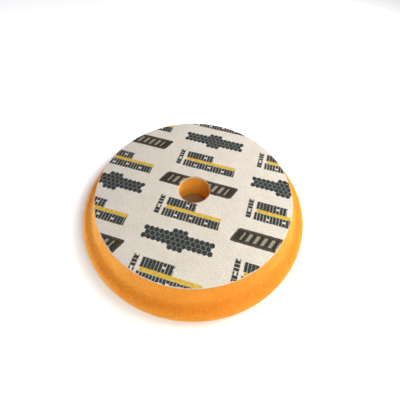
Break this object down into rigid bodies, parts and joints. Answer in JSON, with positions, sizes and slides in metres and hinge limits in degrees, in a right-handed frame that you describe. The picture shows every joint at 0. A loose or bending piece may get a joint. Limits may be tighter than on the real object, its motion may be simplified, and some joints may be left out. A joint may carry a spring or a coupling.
{
  "type": "polishing pad",
  "caption": "Round foam polishing pad with a conical side and rounded shoulder, a through centre hole and a printed loop fabric back that grips a hook-faced backing plate.",
  "frame": {"origin": "centre of the working face, which lies on the table, on the pad's axis", "axes": "+Z along the pad's axis, from the working face up through the loop fabric; X and Y lie in the working face, and the pad is round about Z"},
  "size_m": [0.153, 0.153, 0.021],
  "materials": {
    "open_cell_foam": "matte",
    "hot_melt_film": "satin",
    "loop_fabric": "matte"
  },
  "bodies": {
    "root": {"foam_pad": "open_cell_foam", "adhesive_film": "hot_melt_film", "loop_backing": "loop_fabric"}
  },
  "joints": []
}
